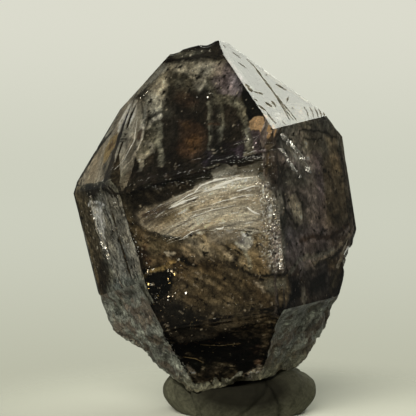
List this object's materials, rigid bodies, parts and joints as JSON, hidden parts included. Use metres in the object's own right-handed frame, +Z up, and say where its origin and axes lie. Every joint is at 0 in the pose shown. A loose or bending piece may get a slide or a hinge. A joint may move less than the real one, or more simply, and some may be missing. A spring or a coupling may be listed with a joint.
{
  "type": "amethyst scepter crystal on display putty",
  "caption": "Squat smoky amethyst scepter head, a doubly tapered quartz crystal with a faceted tip and a rounded, etched lower end, held upright in a pressed lump of display putty.",
  "frame": {"origin": "middle of the putty's flat underside", "axes": "+Z up, +Y away from the viewer of the crystal's front prism face, +X to that viewer's right; the crystal's long axis leans 11.5 degrees to -X and 2.5 degrees to +Y"},
  "size_m": [0.0487, 0.0399, 0.0641],
  "materials": {
    "smoky_amethyst": "clear to smoky violet-brown quartz, glossy growth faces above, finely etched and frosted faces below",
    "display_putty": "satin grey-green putty with soft folds and finger-pressed dents"
  },
  "bodies": {
    "root": {"crystal": "smoky_amethyst", "putty": "display_putty"}
  },
  "joints": []
}
